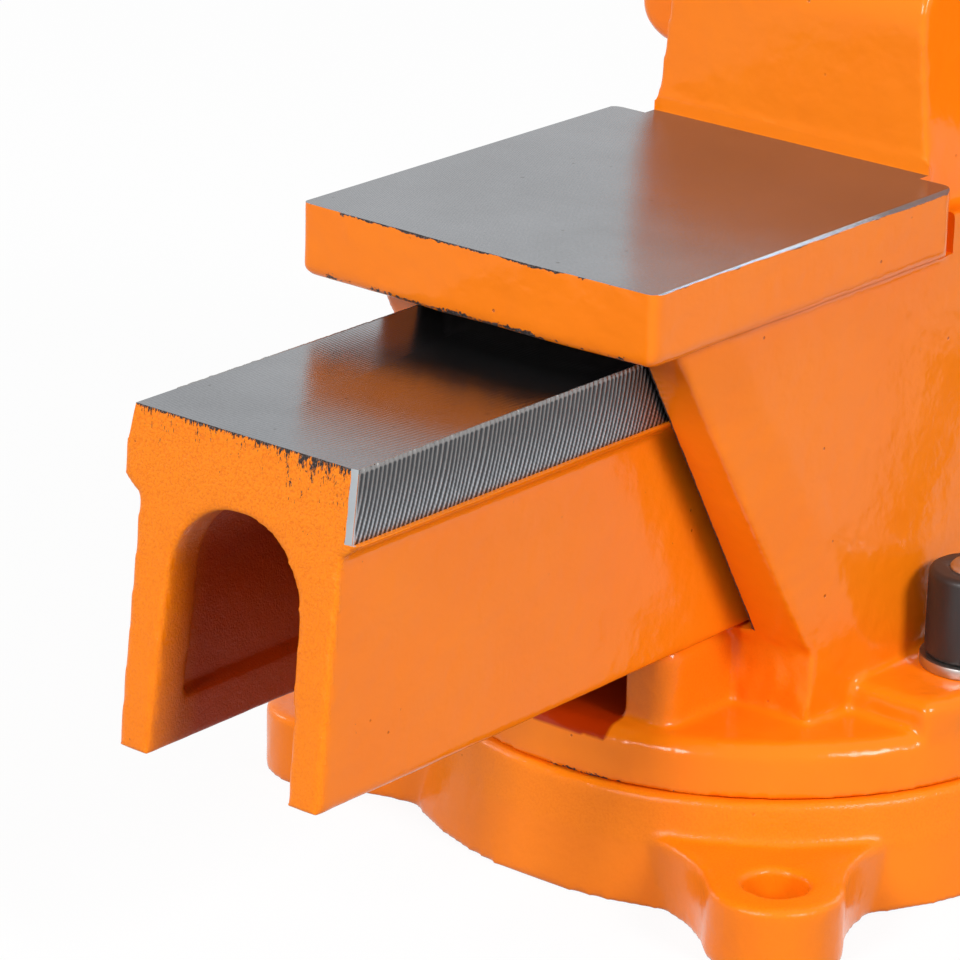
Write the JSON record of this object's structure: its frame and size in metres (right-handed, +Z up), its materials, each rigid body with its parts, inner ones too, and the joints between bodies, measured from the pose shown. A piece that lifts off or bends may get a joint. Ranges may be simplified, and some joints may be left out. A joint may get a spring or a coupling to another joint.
{
  "type": "swivel bench vise",
  "caption": "Swivel-base bench vise with wide serrated jaws, rear anvil, hollow machined slide, lead screw with a sliding handle bar, and clamp levers that lock the base.",
  "frame": {"origin": "on the swivel axis, at the underside of the base, where the base meets the bench", "axes": "+Z up, +Y towards the rear along the slide, +X to the right as seen by a user at the handle"},
  "size_m": [0.247, 0.3634, 0.198],
  "materials": {
    "orange_paint_base": "gloss orange enamel on rough cast iron",
    "orange_paint_body": "gloss orange enamel on cast iron, ground anvil top",
    "orange_paint_jaw": "gloss orange enamel on cast iron, milled slide top and rails",
    "hardened_plate": "ground hardened steel with cut teeth",
    "dark_screw": "black oxide steel",
    "turned_steel": "turned steel",
    "bronze": "turned bronze",
    "spring_steel": "oiled spring wire",
    "raw_iron": "bare machined cast iron",
    "bright_bar": "bright plated bar",
    "bar_ball": "gloss black moulded plastic",
    "zinc_steel": "zinc plated steel",
    "lever_iron": "satin black enamel on cast iron"
  },
  "bodies": {
    "base": {"base": "orange_paint_base"},
    "turret": {"vise_body": "orange_paint_body", "fixed_jaw_plate": "hardened_plate", "fixed_plate_screws": "dark_screw", "lead_nut": "raw_iron", "pivot_bolt": "zinc_steel", "pivot_washer": "zinc_steel", "left_clamp_bolt": "zinc_steel", "right_clamp_bolt": "zinc_steel", "left_clamp_washer": "zinc_steel", "right_clamp_washer": "zinc_steel"},
    "slide": {"moving_jaw": "orange_paint_jaw", "moving_jaw_plate": "hardened_plate", "moving_plate_screws": "dark_screw", "thrust_washer": "bronze", "screw_spring": "spring_steel"},
    "screw": {"lead_screw": "turned_steel", "retaining_collar": "turned_steel", "collar_pin": "dark_screw"},
    "bar": {"handle_bar": "bright_bar", "left_bar_ball": "bar_ball", "right_bar_ball": "bar_ball"},
    "left_lever": {"left_clamp_lever": "lever_iron"},
    "right_lever": {"right_clamp_lever": "lever_iron"}
  },
  "joints": [
    {"name": "swivel", "type": "hinge", "parent": "base", "child": "turret", "pos_m": [0, 0, 0.025], "axis": [0, 0, 1], "continuous": true},
    {"name": "jaw_slide", "type": "slide", "parent": "turret", "child": "slide", "axis": [0, -1, 0], "range_m": [-0.02, 0.13]},
    {"name": "screw_turn", "type": "hinge", "parent": "slide", "child": "screw", "pos_m": [0, -0.162, 0.094], "axis": [0, -1, 0], "range_deg": [-1441, 9361]},
    {"name": "bar_slide", "type": "slide", "parent": "screw", "child": "bar", "axis": [1, 0, 0], "range_m": [-0.08, 0.08]},
    {"name": "left_lever_turn", "type": "hinge", "parent": "turret", "child": "left_lever", "pos_m": [-0.0595, 0, 0.0565], "axis": [0, 0, 1], "range_deg": [-60, 15]},
    {"name": "right_lever_turn", "type": "hinge", "parent": "turret", "child": "right_lever", "pos_m": [0.0595, 0, 0.0565], "axis": [0, 0, 1], "range_deg": [-15, 60]}
  ],
  "couplings": [
    {"joint": "screw_turn", "follows": "jaw_slide", "rad_per_m": 1256.6}
  ]
}
